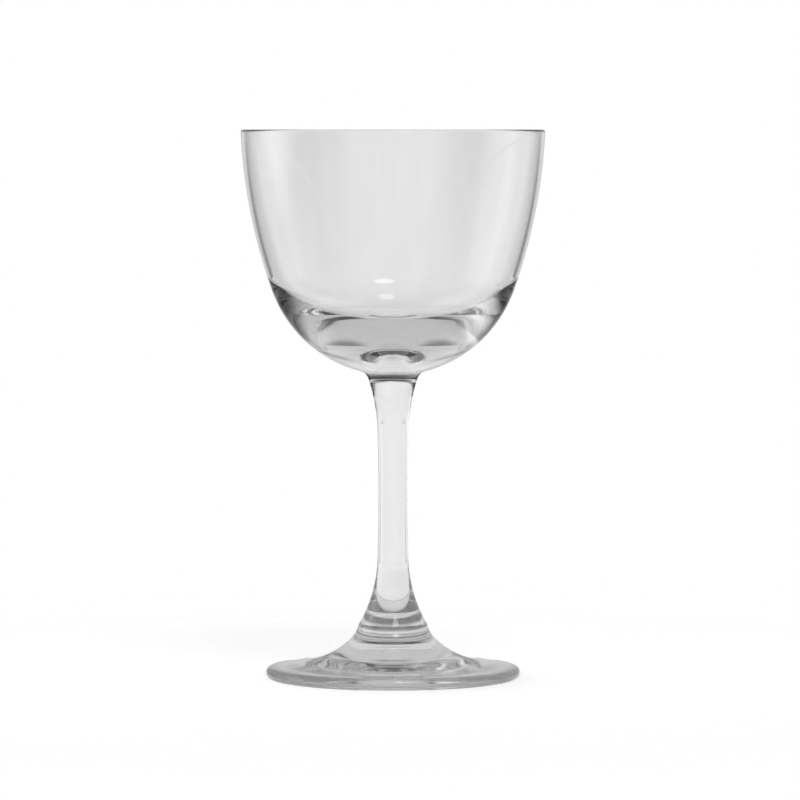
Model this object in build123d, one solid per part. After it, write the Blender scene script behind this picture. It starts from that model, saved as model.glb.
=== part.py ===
from build123d import *
import math
import os

# Nick and nora glass: a foot, a stem and a bowl, each a solid of revolution, fused hot at two flat
# seams on one axis. Lengths are millimetres and angles are degrees. The axis is +Z, and the foot
# rests on the plane z = 0 around the origin.

# Foot: a round edge, a shallow cone, a hollow sweep and a collar under the stem
foot_diameter = 65.0
edge_radius = 1.55          # round edge of the foot
foot_slope = 8.3            # rise of the cone from the edge, from level
sweep_radius = 21.2         # wide hollow curve above the cone
sweep_lean = 46.0           # lean of the side where the two hollow curves meet, from upright
collar_radius = 7.4         # tight hollow curve below the collar
collar_lean = 11.0          # lean of the collar's side, from upright
collar_edge = 0.2           # round on the collar's upper edge
seam_ledge = 0.22           # the collar stands out this far past the stem
resting_width = 2.0         # width of the flat ring that the glass stands on
kick_height = 1.0           # rise of the hollow underside on the axis

# Stem: a slightly waisted shank that flares to both seams
stem_length = 62.4
stem_bottom_diameter = 17.05
stem_top_diameter = 12.5
shank_diameter = 7.85       # where each flare starts
waist_depth = 0.22          # how far the shank draws in, half way between the flares
bottom_flare_length = 16.6
top_flare_length = 13.2

# Bowl: a thin wall that leans out to the rim, on a round, thick base
bowl_height = 63.45
rim_diameter = 77.4
rim_lean = 2.6              # outward lean of the wall at the rim
wall = 1.3                  # thickness of the wall, and of the fire-polished round of the rim
base_radius = 32.7          # outside of the round base, a sphere on the axis
base_lift = 0.9             # lowest point of that sphere above the seam with the stem
floor_thickness = 8.6       # solid glass between the seam and the middle of the inside floor
floor_radius = 39.2         # hollow of the inside floor
floor_corner = 20.5         # round between the inside floor and the wall


def at(radius, height):
    """Point or direction in an outline, in the plane y = 0."""
    return Vector(radius, 0, height)


def leaning(angle):
    """Unit direction that leans outwards from straight up."""
    return at(math.sin(math.radians(angle)), math.cos(math.radians(angle)))


def across(direction):
    """Direction a quarter turn to the right of another one."""
    return at(direction.Z, -direction.X)


def run_into_circle(start, direction, center, radius):
    """Arc that leaves start along direction and runs smoothly into a circle: the arc's centre, its
    radius, negative where it bulges outwards, and the point where it joins the circle."""
    normal = across(direction)
    offset = start - center
    arc_radius = (offset.dot(offset) - radius**2) / (2 * (radius - offset.dot(normal)))
    arc_center = start + normal * arc_radius
    return arc_center, arc_radius, center + (arc_center - center) * (radius / (radius + arc_radius))


def corner_in(side_center, side_radius, floor_center):
    """Floor corner that rounds off the inside floor against an arc of the wall: its centre, its upper
    end and its lower end."""
    side_reach = side_radius - floor_corner
    floor_reach = floor_radius - floor_corner
    span = floor_center - side_center
    along = (side_reach**2 - floor_reach**2 + span.dot(span)) / (2 * span.length)
    aside = across(span.normalized()) * math.sqrt(side_reach**2 - along**2)
    crossings = [side_center + span.normalized() * along + aside * side for side in (1, -1)]
    center = min(crossings, key=lambda point: (round(point.Z, 6), -point.X))
    upper = center + (center - side_center).normalized() * floor_corner
    lower = center + (center - floor_center).normalized() * floor_corner
    return center, upper, lower


def turned(*edges):
    """Solid that a closed outline makes when it turns about the axis."""
    return revolve(make_face(edges), axis=Axis.Z)


# Foot outline, up from the edge: cone, sweep, hollow below the collar, collar
cone_normal = leaning(foot_slope)
sweep_normal = across(leaning(-sweep_lean))
collar_normal = across(leaning(-collar_lean))
edge_center = at(foot_diameter / 2 - edge_radius, edge_radius)
cone_end = edge_center + cone_normal * edge_radius
collar_width = stem_bottom_diameter / 2 + seam_ledge
hollow_rise = (sweep_normal - collar_normal) * collar_radius
sweep_rise = (cone_normal - sweep_normal) * sweep_radius
cone_width = collar_width - hollow_rise.X - sweep_rise.X
cone_start = at(cone_width, cone_end.Z + (cone_end.X - cone_width) * math.tan(math.radians(foot_slope)))
sweep_start = cone_start + sweep_rise
collar_side = sweep_start + hollow_rise
collar_top = collar_side + (at(0, 1) - collar_normal) * collar_edge

# Heights of the seams and of the rim above the table
foot_seam = collar_top.Z
stem_seam = foot_seam + stem_length
rim_top = stem_seam + bowl_height

# Stem outline, up from the seam with the foot
stem_bottom = at(stem_bottom_diameter / 2, foot_seam)
stem_top = at(stem_top_diameter / 2, stem_seam)
shank_bottom = at(shank_diameter / 2, foot_seam + bottom_flare_length)
shank_top = at(shank_diameter / 2, stem_seam - top_flare_length)
waist = at(shank_diameter / 2 - waist_depth, (shank_bottom.Z + shank_top.Z) / 2)
shank = ThreePointArc(shank_bottom, waist, shank_top)
bottom_flare = TangentArc(shank_bottom, stem_bottom, tangent=-(shank % 0))
top_flare = TangentArc(shank_top, stem_top, tangent=shank % 1)


def make_foot():
    seam_center = at(0, foot_seam)
    kick_top = at(0, kick_height)
    ring_outside = at(edge_center.X, 0)
    ring_inside = at(edge_center.X - resting_width, 0)
    collar = TangentArc(collar_top, collar_side, tangent=at(1, 0))
    hollow = TangentArc(collar_side, sweep_start, tangent=collar % 1)
    sweep = TangentArc(sweep_start, cone_start, tangent=hollow % 1)
    cone = Line(cone_start, cone_end)
    edge = TangentArc(cone_end, ring_outside, tangent=cone % 1)
    ring = Line(ring_outside, ring_inside)
    underside = TangentArc(kick_top, ring_inside, tangent=at(1, 0))
    return turned(
        Line(seam_center, collar_top),
        collar,
        hollow,
        sweep,
        cone,
        edge,
        ring,
        underside,
        Line(kick_top, seam_center),
    )


def make_stem():
    bottom_center = at(0, foot_seam)
    top_center = at(0, stem_seam)
    return turned(
        Line(bottom_center, stem_bottom),
        bottom_flare,
        shank,
        top_flare,
        Line(stem_top, top_center),
        Line(top_center, bottom_center),
    )


def make_bowl():
    # Outside: the base sphere runs down into the end of the stem's flare, and up into the wall
    base_center = at(0, stem_seam + base_lift + base_radius)
    wall_direction = leaning(rim_lean)
    half_wall = across(wall_direction) * (wall / 2)
    rim_center = at((rim_diameter - wall) / 2, rim_top - wall / 2)
    rim_outside = rim_center + half_wall
    rim_inside = rim_center - half_wall
    wall_center, wall_radius, wall_foot = run_into_circle(rim_outside, wall_direction, base_center, base_radius)
    _, _, neck_top = run_into_circle(stem_top, top_flare % 1, base_center, base_radius)
    neck = TangentArc(stem_top, neck_top, tangent=top_flare % 1)
    base = TangentArc(neck_top, wall_foot, tangent=neck % 1)
    outside = TangentArc(wall_foot, rim_outside, tangent=base % 1)
    rim = TangentArc(rim_outside, rim_inside, tangent=wall_direction)

    # Inside: the wall keeps its thickness down to a large round corner, and the floor is hollow
    floor_middle = at(0, stem_seam + floor_thickness)
    floor_center = floor_middle + at(0, floor_radius)
    inside_foot = wall_foot + (base_center - wall_foot).normalized() * wall
    _, corner_top, corner_bottom = corner_in(wall_center, -wall_radius - wall, floor_center)
    sides = [TangentArc(rim_inside, corner_top, tangent=-wall_direction)]
    if wall_radius > 0 or corner_top.Z < inside_foot.Z:
        # The corner lies below the leaning wall, against the inside of the round base
        _, corner_top, corner_bottom = corner_in(base_center, base_radius - wall, floor_center)
        upper_side = TangentArc(rim_inside, inside_foot, tangent=-wall_direction)
        sides = [upper_side, TangentArc(inside_foot, corner_top, tangent=upper_side % 1)]
    corner = TangentArc(corner_top, corner_bottom, tangent=sides[-1] % 1)
    floor = TangentArc(corner_bottom, floor_middle, tangent=corner % 1)

    seam_center = at(0, stem_seam)
    return turned(
        Line(seam_center, stem_top),
        neck,
        base,
        outside,
        rim,
        *sides,
        corner,
        floor,
        Line(floor_middle, seam_center),
    )


os.makedirs("parts", exist_ok=True)
pieces = {"foot": make_foot(), "stem": make_stem(), "bowl": make_bowl()}
for name, solid in pieces.items():
    export_step(solid, f"parts/{name}.step")
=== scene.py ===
import math
from itertools import pairwise
import bpy
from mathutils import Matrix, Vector


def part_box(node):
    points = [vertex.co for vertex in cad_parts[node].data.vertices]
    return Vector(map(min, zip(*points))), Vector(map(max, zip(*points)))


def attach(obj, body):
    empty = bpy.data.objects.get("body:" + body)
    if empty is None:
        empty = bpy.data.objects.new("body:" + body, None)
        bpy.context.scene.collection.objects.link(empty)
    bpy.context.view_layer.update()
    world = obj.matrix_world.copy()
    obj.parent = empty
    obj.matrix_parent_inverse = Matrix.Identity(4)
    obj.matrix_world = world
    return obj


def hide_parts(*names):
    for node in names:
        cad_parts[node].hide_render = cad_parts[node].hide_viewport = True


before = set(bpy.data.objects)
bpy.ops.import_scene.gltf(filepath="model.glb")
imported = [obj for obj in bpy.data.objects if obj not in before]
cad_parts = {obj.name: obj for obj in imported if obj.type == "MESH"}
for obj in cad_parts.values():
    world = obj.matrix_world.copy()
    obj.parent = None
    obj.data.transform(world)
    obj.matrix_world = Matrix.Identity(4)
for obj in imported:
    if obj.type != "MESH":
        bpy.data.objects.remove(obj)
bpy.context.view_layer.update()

# Sizes are metres and angles are degrees. The axis of the glass is Z, and it stands on z = 0.
FOOT_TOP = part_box("foot")[1].z
FOOT_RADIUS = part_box("foot")[1].x

# Fineness of the turned pieces
TOUCH = 1e-6            # points closer than this are the same point
SEGMENTS = 192          # steps round the axis
TURN_STEP = 1.5         # most that an outline turns from one ring to the next
LENGTH_STEP = 0.0015    # most that it runs on

# Glass
IOR = 1.52
ABSORPTION = 9.0             # what a metre of it takes of the light, as an exponent
TINT = 0.915                 # what its two faces let through together
FOOT_TINT = 0.79             # the same for the foot
TINT_CHANGE = (0.8, 1.2)     # shares of the foot's height between which the one becomes the other
CORD_SHADE = 0.02            # how much greyer the streaks in it are
CORD_SCALE = (260, 260, 30)  # streaks to a metre, drawn out along the axis
CORD_RANGE = (0.3, 0.7)      # the noise runs from streak to clear glass between these
WAVE_HEIGHT = 0.000004       # waves left by the hot working
WAVE_SCALE = (90, 90, 45)
NOISE_DETAIL = 2
RING_HEIGHT = 0.000022       # rings left by the spinning of the foot
RING_PITCH = 0.0050
WEAR_HEIGHT = 0.0006         # the resting ring is scuffed up to here
WEAR_ROUGHNESS = 0.25

# Table: a small round one, so that the glass sees the studio past its rim
TABLE_RADIUS = 0.20
TABLE_FADE = 0.07                 # its rim melts into the backdrop over this width
TABLE_GAP = 0.00005               # it lies this far below the foot
TABLE_COLOR = 0.8
TABLE_LIFT = 0.64                 # what it needs besides its own light to look white
PAINTED_SHADE_LIFT = 0.20                 # painted shade: the lift under the middle of the foot
PAINTED_GLOW_LIFT = 1.1                   # painted pool of light: the lift under the foot's outer part
PAINTED_SHADE_EDGE = (0.012, 0.020)       # distances from the axis where the painted shade becomes the painted light
PAINTED_GLOW_EDGE = (0.030, FOOT_RADIUS)  # and where the painted light becomes the open table

# Screen: a low white arc behind the glass, so that the stem stands before white
SCREEN_RADIUS = 0.18
SCREEN_REACH = 45            # degrees to both sides
SCREEN_DEPTH = 0.060         # it reaches this far below the table
SCREEN_HEIGHT = 0.070        # and this far above

# Studio: the directions are azimuth from straight behind the glass to the right, and elevation.
# A spot has a direction, the angles where its even middle ends and where it has faded, and a level.
# The ceiling, the gaps and the flags leave that share of the white room, and the two lamps add to it.
CEILING = (0, 90, 30, 62, 0.0)
LEFT_GAP = (-34, -18, 14, 24, 0.32)
RIGHT_GAP = (34, -18, 14, 24, 0.32)
LEFT_FLAG = (-112, 11, 9, 45, 0.0)
RIGHT_FLAG = (112, 11, 9, 45, 0.0)
HIGH_FLAG = (55, 42, 14, 24, 0.0)
SOFTBOX = (-82, 12, 12, 31, 1.0)
KEY_LIGHT = (168, 53, 6, 10, 5.0)
MIRRORED = 0.5               # how much of the room the glass mirrors, besides the two lamps

# How often light may meet the glass on its way
MOST_BOUNCES = 32
MOST_REFLECTIONS = 16

# Camera: level with the rim, with its lens and sensor in millimetres
LENS = 234.39
SENSOR = 36
CAMERA_PLACE = (0.0018, -1.3258, 0.140)
CAMERA_AIM = (0.0018, 0, 0.07115)


# Outlines: each face of a turned CAD node is one run of its outline, an arc or a straight line


def outline_runs(node):
    """First, middle and last point of each run of a node's outline, in the half plane y = 0, x >= 0."""
    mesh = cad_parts[node].data
    beside = {v.index: [] for v in mesh.vertices if abs(v.co.y) < TOUCH and v.co.x > -TOUCH}
    for edge in mesh.edges:
        start, end = edge.vertices
        if start in beside and end in beside:
            beside[start].append(end)
            beside[end].append(start)
    runs = {}
    for first in [index for index, others in beside.items() if len(others) == 1]:
        chain = [first]
        onward = beside[first]
        while onward:
            chain.append(onward[0])
            on_axis = mesh.vertices[chain[-1]].co.x < TOUCH
            onward = [] if on_axis else [i for i in beside[chain[-1]] if i != chain[-2]]
        points = [Vector((mesh.vertices[i].co.x, mesh.vertices[i].co.z)) for i in chain]
        ends = frozenset(tuple(round(c / TOUCH) for c in p) for p in (points[0], points[-1]))
        runs[ends] = (points[0], points[len(points) // 2], points[-1])
    return list(runs.values())


def outline(node):
    """Runs of a node's outline in order, from the axis at its top, outwards and down to the axis again.
    Its seams are flat runs that start or end on the axis, with no middle point."""
    runs = outline_runs(node)
    ends = [p for run in runs for p in (run[0], run[2])]
    loose = [p for p in ends if sum((p - other).length < TOUCH for other in ends) == 1]
    here = max(loose, key=lambda p: p.y)
    ordered = []
    if here.x > TOUCH:
        ordered.append((Vector((0, here.y)), None, here))
    while runs:
        run = min(runs, key=lambda r: min((r[0] - here).length, (r[2] - here).length))
        runs.remove(run)
        if (run[2] - here).length < (run[0] - here).length:
            run = run[::-1]
        ordered.append(run)
        here = run[2]
    if here.x > TOUCH:
        ordered.append((here, None, Vector((0, here.y))))
    return ordered


def along(run):
    """Points along a run, each with the outward direction there, which is on the left."""
    start, middle, end = run
    chord = end - start
    half = middle - start if middle else chord
    bend = 2 * half.cross(chord)
    if abs(bend) < TOUCH * chord.length:
        side = Vector((-chord.y, chord.x)).normalized()
        count = math.ceil(chord.length / LENGTH_STEP) if middle else 1
        return [(start.lerp(end, i / count), side) for i in range(count + 1)]
    offset = chord * half.length_squared - half * chord.length_squared
    center = start + Vector((offset.y, -offset.x)) / bend
    spokes = [point - center for point in run]
    sweep = sum(math.atan2(a.cross(b), a.dot(b)) for a, b in pairwise(spokes))
    radius = spokes[0].length
    count = math.ceil(abs(sweep) / min(math.radians(TURN_STEP), LENGTH_STEP / radius))
    first = math.atan2(spokes[0].y, spokes[0].x)
    angles = [first + sweep * i / count for i in range(count + 1)]
    rays = [Vector((math.cos(a), math.sin(a))) for a in angles]
    return [(center + ray * radius, ray if sweep < 0 else -ray) for ray in rays]


# Turned pieces


def round_axis(point):
    """A point or direction of an outline at each step round the axis."""
    angles = [math.tau * k / SEGMENTS for k in range(SEGMENTS)]
    return [(point.x * math.cos(a), point.x * math.sin(a), point.y) for a in angles]


def turned(node, glass, seam):
    """Smooth closed piece that stands for a turned CAD node, with its seams in their own material."""
    spans = [(a, b, run[1] is None) for run in outline(node) for a, b in pairwise(along(run))]
    verts, rings = [], []
    for point, _ in [spans[0][0]] + [end for _, end, _ in spans]:
        spots = round_axis(point) if point.x > TOUCH else [(0, 0, point.y)]
        rings.append([len(verts) + k % len(spots) for k in range(SEGMENTS)])
        verts += spots
    faces, normals = [], []
    for (start, end, _), (upper, lower) in zip(spans, pairwise(rings)):
        leaving, arriving = round_axis(start[1]), round_axis(end[1])
        for k in range(SEGMENTS):
            n = (k + 1) % SEGMENTS
            # On the axis two corners are one
            corners = dict([(upper[k], leaving[k]), (lower[k], arriving[k]),
                            (lower[n], arriving[n]), (upper[n], leaving[n])])
            faces.append(list(corners))
            normals += corners.values()
    mesh = bpy.data.meshes.new(node)
    mesh.from_pydata(verts, [], faces)
    mesh.materials.append(glass)
    mesh.materials.append(seam)
    slots = [int(is_seam) for _, _, is_seam in spans for _ in range(SEGMENTS)]
    mesh.polygons.foreach_set("material_index", slots)
    mesh.polygons.foreach_set("use_smooth", [True] * len(faces))
    mesh.normals_split_custom_set(normals)
    piece = bpy.data.objects.new(f"{node}_glass", mesh)
    bpy.context.scene.collection.objects.link(piece)
    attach(piece, "root")
    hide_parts(node)


# Node trees


def empty_tree(owner):
    """Cleared node tree of a material or a world."""
    owner.use_nodes = True
    owner.node_tree.nodes.clear()
    return owner.node_tree


def combine(tree, operation, *terms):
    """Result of a Math node on sockets and numbers."""
    node = tree.nodes.new("ShaderNodeMath")
    node.operation = operation
    for socket, term in zip(node.inputs, terms):
        if isinstance(term, bpy.types.NodeSocket):
            tree.links.new(term, socket)
        else:
            socket.default_value = term
    return node.outputs[0]


def span(tree, value, start, end, first, last):
    """Value that runs smoothly from first to last while another runs from start to end."""
    node = tree.nodes.new("ShaderNodeMapRange")
    node.interpolation_type = "SMOOTHSTEP"
    node.inputs["From Min"].default_value = start
    node.inputs["From Max"].default_value = end
    node.inputs["To Min"].default_value = first
    node.inputs["To Max"].default_value = last
    tree.links.new(value, node.inputs["Value"])
    return node.outputs[0]


def object_place(tree):
    """Place on the object, in the frame's own coordinates."""
    return tree.nodes.new("ShaderNodeTexCoord").outputs["Object"]


def axis_distance(tree, place):
    """Distance of a place from the axis of the glass."""
    flat = tree.nodes.new("ShaderNodeVectorMath")
    flat.operation = "MULTIPLY"
    flat.inputs[1].default_value = (1, 1, 0)
    tree.links.new(place, flat.inputs[0])
    length = tree.nodes.new("ShaderNodeVectorMath")
    length.operation = "LENGTH"
    tree.links.new(flat.outputs[0], length.inputs[0])
    return length.outputs["Value"]


def noise(tree, place, scale):
    """Cloudy pattern with its own scale along each axis."""
    stretch = tree.nodes.new("ShaderNodeMapping")
    stretch.inputs["Scale"].default_value = scale
    tree.links.new(place, stretch.inputs["Vector"])
    pattern = tree.nodes.new("ShaderNodeTexNoise")
    pattern.inputs["Scale"].default_value = 1
    pattern.inputs["Detail"].default_value = NOISE_DETAIL
    tree.links.new(stretch.outputs[0], pattern.inputs["Vector"])
    return pattern.outputs["Fac"]


def mixed(tree, share, first, second):
    """Shader that is the first where the share is 0 and the second where it is 1."""
    node = tree.nodes.new("ShaderNodeMixShader")
    for socket, source in zip(node.inputs, (share, first, second)):
        tree.links.new(source, socket)
    return node.outputs[0]


def see_through(tree):
    """Shader that lets light pass straight."""
    return tree.nodes.new("ShaderNodeBsdfTransparent").outputs[0]


def show(tree, shader):
    """Put a shader on the surface of a material."""
    output = tree.nodes.new("ShaderNodeOutputMaterial")
    tree.links.new(shader, output.inputs["Surface"])


def either(tree, *kinds):
    """1 for light paths of any of these kinds and 0 for others."""
    path = tree.nodes.new("ShaderNodeLightPath")
    known = 0
    for kind in kinds:
        known = combine(tree, "MAXIMUM", known, path.outputs[kind])
    return known


# Materials


def glass_color(tree, place, height):
    """Faint grey with streaks along the axis, a little darker in the foot."""
    cords = span(tree, noise(tree, place, CORD_SCALE), *CORD_RANGE, 1 - CORD_SHADE, 1)
    low, high = [share * FOOT_TOP for share in TINT_CHANGE]
    tint = span(tree, height, low, high, FOOT_TINT, TINT)
    return combine(tree, "MULTIPLY", cords, tint)


def glass_relief(tree, place, height):
    """Normal with the waves of the hot working, and with rings that fade out above the foot."""
    waves = combine(tree, "MULTIPLY", noise(tree, place, WAVE_SCALE), WAVE_HEIGHT)
    turns = combine(tree, "MULTIPLY", axis_distance(tree, place), math.tau / RING_PITCH)
    ring_height = span(tree, height, 0, FOOT_TOP, RING_HEIGHT, 0)
    rings = combine(tree, "MULTIPLY", combine(tree, "SINE", turns), ring_height)
    relief = tree.nodes.new("ShaderNodeBump")
    relief.inputs["Distance"].default_value = 1
    tree.links.new(combine(tree, "ADD", waves, rings), relief.inputs["Height"])
    return relief.outputs[0]


def light_taken(tree):
    """Share of the light that the way through the glass to its inner face takes."""
    path = tree.nodes.new("ShaderNodeLightPath").outputs["Ray Length"]
    inside = tree.nodes.new("ShaderNodeNewGeometry").outputs["Backfacing"]
    passed = combine(tree, "EXPONENT", combine(tree, "MULTIPLY", path, -ABSORPTION))
    return combine(tree, "MULTIPLY", combine(tree, "SUBTRACT", 1, passed), inside)


def clear_glass():
    """Clear glass, scuffed where it rests, that greys with its thickness."""
    material = bpy.data.materials.new("clear_glass")
    tree = empty_tree(material)
    place = object_place(tree)
    parts = tree.nodes.new("ShaderNodeSeparateXYZ")
    tree.links.new(place, parts.inputs[0])
    height = parts.outputs["Z"]
    shader = tree.nodes.new("ShaderNodeBsdfPrincipled")
    shader.inputs["IOR"].default_value = IOR
    shader.inputs["Transmission Weight"].default_value = 1
    scuffs = span(tree, height, 0, WEAR_HEIGHT, WEAR_ROUGHNESS, 0)
    tree.links.new(glass_color(tree, place, height), shader.inputs["Base Color"])
    tree.links.new(scuffs, shader.inputs["Roughness"])
    tree.links.new(glass_relief(tree, place, height), shader.inputs["Normal"])
    dark = tree.nodes.new("ShaderNodeBsdfDiffuse")
    dark.inputs["Color"].default_value = (0, 0, 0, 1)
    show(tree, mixed(tree, light_taken(tree), shader.outputs[0], dark.outputs[0]))
    return material


def fused_seam():
    """Seam where two pieces melted into one."""
    material = bpy.data.materials.new("fused_seam")
    tree = empty_tree(material)
    show(tree, see_through(tree))
    return material


def white_table():
    """Matt table that keeps its shadows, lifted to white where the camera or the glass sees it.
    Under the foot the lift paints a shade in the middle and a pool of light round that."""
    material = bpy.data.materials.new("table")
    tree = empty_tree(material)
    matt = tree.nodes.new("ShaderNodeBsdfDiffuse")
    matt.inputs["Color"].default_value = (TABLE_COLOR, TABLE_COLOR, TABLE_COLOR, 1)
    radius = axis_distance(tree, object_place(tree))
    # The lift paints a shade under the middle of the foot and a pool of light round it
    inner = span(tree, radius, *PAINTED_SHADE_EDGE, PAINTED_SHADE_LIFT, PAINTED_GLOW_LIFT)
    outer = span(tree, radius, *PAINTED_GLOW_EDGE, PAINTED_GLOW_LIFT, TABLE_LIFT)
    level = combine(tree, "MINIMUM", inner, outer)
    seen = either(tree, "Is Camera Ray", "Is Glossy Ray", "Is Transmission Ray")
    lift = tree.nodes.new("ShaderNodeEmission")
    tree.links.new(combine(tree, "MULTIPLY", seen, level), lift.inputs["Strength"])
    white = tree.nodes.new("ShaderNodeAddShader")
    tree.links.new(matt.outputs[0], white.inputs[0])
    tree.links.new(lift.outputs[0], white.inputs[1])
    melted = span(tree, radius, TABLE_RADIUS - TABLE_FADE, TABLE_RADIUS, 0, 1)
    show(tree, mixed(tree, melted, white.outputs[0], see_through(tree)))
    return material


def white_screen():
    """White card that shows from its front alone, to the camera and through glass, without a shadow."""
    material = bpy.data.materials.new("screen")
    tree = empty_tree(material)
    back = tree.nodes.new("ShaderNodeNewGeometry").outputs["Backfacing"]
    seen = either(tree, "Is Camera Ray", "Is Transmission Ray")
    shown = combine(tree, "MULTIPLY", seen, combine(tree, "SUBTRACT", 1, back))
    white = tree.nodes.new("ShaderNodeEmission")
    show(tree, mixed(tree, shown, see_through(tree), white.outputs[0]))
    return material


# Studio


def stand(name, verts, faces, material):
    """Piece of the studio."""
    mesh = bpy.data.meshes.new(name)
    mesh.from_pydata(verts, [], faces)
    mesh.materials.append(material)
    piece = bpy.data.objects.new(name, mesh)
    bpy.context.scene.collection.objects.link(piece)


def make_table():
    """Round table top just under the foot."""
    rim = round_axis(Vector((TABLE_RADIUS, -TABLE_GAP)))
    stand("table", rim, [range(len(rim))], white_table())


def make_screen():
    """Low screen that stands in an arc behind the glass and faces it."""
    angles = [math.radians(a) for a in range(-SCREEN_REACH, SCREEN_REACH + 1)]
    places = [(SCREEN_RADIUS * math.sin(a), SCREEN_RADIUS * math.cos(a)) for a in angles]
    verts = [(x, y, z) for z in (-SCREEN_DEPTH, SCREEN_HEIGHT) for x, y in places]
    count = len(places)
    faces = [(k, k + 1, k + count + 1, k + count) for k in range(count - 1)]
    stand("screen", verts, faces, white_screen())


def spot(tree, direction, outside, azimuth, elevation, inner, outer, inside):
    """Level that fades from outside to inside round a direction."""
    around, up = math.radians(azimuth), math.radians(elevation)
    across = math.cos(up)
    dot = tree.nodes.new("ShaderNodeVectorMath")
    dot.operation = "DOT_PRODUCT"
    dot.inputs[1].default_value = (across * math.sin(around), across * math.cos(around), math.sin(up))
    tree.links.new(direction, dot.inputs[0])
    angle = combine(tree, "ARCCOSINE", dot.outputs["Value"])
    return span(tree, angle, math.radians(inner), math.radians(outer), inside, outside)


def make_world():
    """White room with a dark ceiling and dark flags, a softbox on the left and a key light in front.
    The camera itself sees plain white, and the outer faces of the glass mirror the room dimmed."""
    world = bpy.data.worlds.new("studio")
    bpy.context.scene.world = world
    tree = empty_tree(world)
    output = tree.nodes.new("ShaderNodeOutputWorld")
    light = tree.nodes.new("ShaderNodeBackground")
    light.inputs["Color"].default_value = (1, 1, 1, 1)
    tree.links.new(light.outputs[0], output.inputs["Surface"])
    direction = tree.nodes.new("ShaderNodeTexCoord").outputs["Generated"]
    level = spot(tree, direction, 1, *CEILING)
    for flag in (LEFT_GAP, RIGHT_GAP, LEFT_FLAG, RIGHT_FLAG, HIGH_FLAG):
        level = combine(tree, "MULTIPLY", level, spot(tree, direction, 1, *flag))
    glossy, reflected = either(tree, "Is Glossy Ray"), either(tree, "Is Reflection Ray")
    mirrored = combine(tree, "MULTIPLY", glossy, reflected)
    level = combine(tree, "MULTIPLY", level, span(tree, mirrored, 0, 1, 1, MIRRORED))
    for lamp in (SOFTBOX, KEY_LIGHT):
        level = combine(tree, "ADD", level, spot(tree, direction, 0, *lamp))
    level = combine(tree, "MAXIMUM", level, either(tree, "Is Camera Ray"))
    tree.links.new(level, light.inputs["Strength"])


def make_camera():
    """Camera in front of the glass with a long lens."""
    data = bpy.data.cameras.new("camera")
    data.lens = LENS
    data.sensor_width = SENSOR
    camera = bpy.data.objects.new("camera", data)
    camera.location = CAMERA_PLACE
    camera.rotation_euler = (Vector(CAMERA_AIM) - camera.location).to_track_quat("-Z", "Y").to_euler()
    bpy.context.scene.collection.objects.link(camera)
    bpy.context.scene.camera = camera


# The glass in its studio
glass = clear_glass()
seam = fused_seam()
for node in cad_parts:
    turned(node, glass, seam)
make_table()
make_screen()
make_world()
make_camera()

# Render settings
scene = bpy.context.scene
scene.view_settings.view_transform = "Standard"
scene.cycles.max_bounces = MOST_BOUNCES
scene.cycles.transmission_bounces = MOST_BOUNCES
scene.cycles.transparent_max_bounces = MOST_BOUNCES
scene.cycles.glossy_bounces = MOST_REFLECTIONS
scene.cycles.caustics_refractive = True
scene.cycles.caustics_reflective = True
